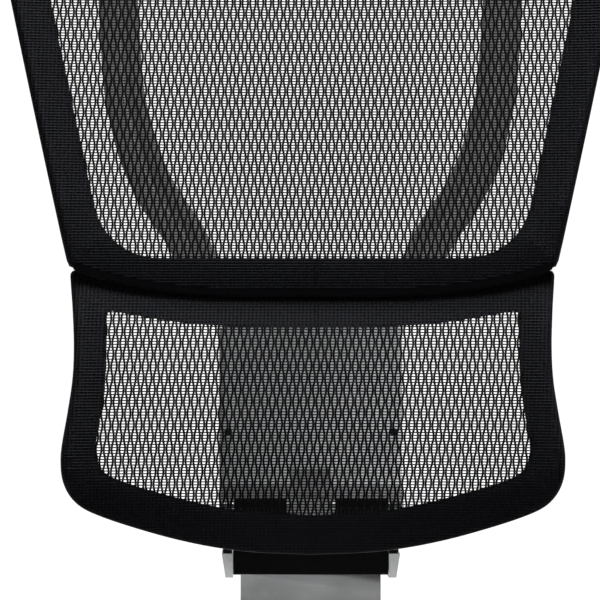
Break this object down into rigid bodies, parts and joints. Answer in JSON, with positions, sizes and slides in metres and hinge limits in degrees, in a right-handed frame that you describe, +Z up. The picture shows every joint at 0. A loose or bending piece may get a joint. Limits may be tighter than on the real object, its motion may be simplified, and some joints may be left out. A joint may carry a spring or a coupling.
{
  "type": "mesh chair back",
  "caption": "Two-part mesh chair back: upper panel on bowed arms and a sprung lumbar panel, sliding on a post above a cast J-bar, with a headrest pad.",
  "frame": {"origin": "centre of the bottom face of the J-bar's foot, where it bolts under a seat", "axes": "+X to the right seen from the front, -Y is the side the sitter leans on, +Z up along the post"},
  "size_m": [0.541, 0.3433, 0.7906],
  "materials": {
    "knit_rim": "black knit wrapped over a moulded rim, with fine vertical ribs",
    "mesh": "open black warp-knit mesh, staggered lens holes crossed by fine filaments",
    "trim": "smooth black moulding with a soft gloss on its edge",
    "arm": "dark grey glass-filled nylon, fine grain",
    "hub": "dark grey glass-filled nylon, fine grain",
    "alloy": "polished cast aluminium, faintly brushed",
    "steel": "zinc-plated steel",
    "black_plastic": "black moulded plastic, fine grain",
    "liner": "natural acetal",
    "rubber": "matte black rubber",
    "screw": "black oxide steel"
  },
  "bodies": {
    "fork": {"jbar": "alloy", "post": "steel", "rack": "steel", "fork_cover": "black_plastic", "bumper_left": "rubber", "bumper_right": "rubber", "foot_bolt_1": "screw", "foot_bolt_2": "screw", "foot_bolt_3": "screw", "foot_bolt_4": "screw", "post_bolt_left": "screw", "post_bolt_right": "screw", "rack_screw_low": "screw", "rack_screw_high": "screw"},
    "back": {"upper_frame": "knit_rim", "upper_mesh": "mesh", "upper_trim": "trim", "arm_left": "arm", "arm_right": "arm", "hub": "hub", "carriage": "alloy", "hinge_bracket": "alloy", "pawl_pin": "steel", "hinge_pin": "steel", "pawl_spring": "steel", "spring_left": "steel", "spring_right": "steel", "carriage_cover": "black_plastic", "link_bracket": "black_plastic", "headrest_cover": "black_plastic", "guide_left": "liner", "guide_right": "liner", "stop_left": "rubber", "stop_right": "rubber", "front_screw_left": "screw", "front_screw_right": "screw", "cover_screw_left": "screw", "cover_screw_right": "screw", "arm_screw_left_low": "screw", "arm_screw_left_mid": "screw", "arm_screw_left_top": "screw", "arm_screw_right_low": "screw", "arm_screw_right_mid": "screw", "arm_screw_right_top": "screw", "link_screw_left": "screw", "link_screw_right": "screw", "headrest_screw_left": "screw", "headrest_screw_right": "screw"},
    "lumbar": {"lumbar_frame": "knit_rim", "lumbar_trim": "trim", "lumbar_mesh": "mesh", "knuckle_left": "black_plastic", "knuckle_right": "black_plastic", "lumbar_carrier": "black_plastic", "carrier_screw_left": "screw", "carrier_screw_right": "screw"},
    "pawl": {"pawl": "steel"}
  },
  "joints": [
    {"name": "back_height", "type": "slide", "parent": "fork", "child": "back", "axis": [0, 0, 1], "range_m": [0, 0.06]},
    {"name": "lumbar_tilt", "type": "hinge", "parent": "back", "child": "lumbar", "pos_m": [0, 0.19, 0.1805], "axis": [-1, 0, 0], "range_deg": [0, 8], "stiffness_Nm_per_rad": 40},
    {"name": "pawl_swing", "type": "hinge", "parent": "back", "child": "pawl", "pos_m": [0, 0.243, 0.2608], "axis": [-1, 0, 0], "range_deg": [0, 9], "stiffness_Nm_per_rad": 0.3}
  ]
}
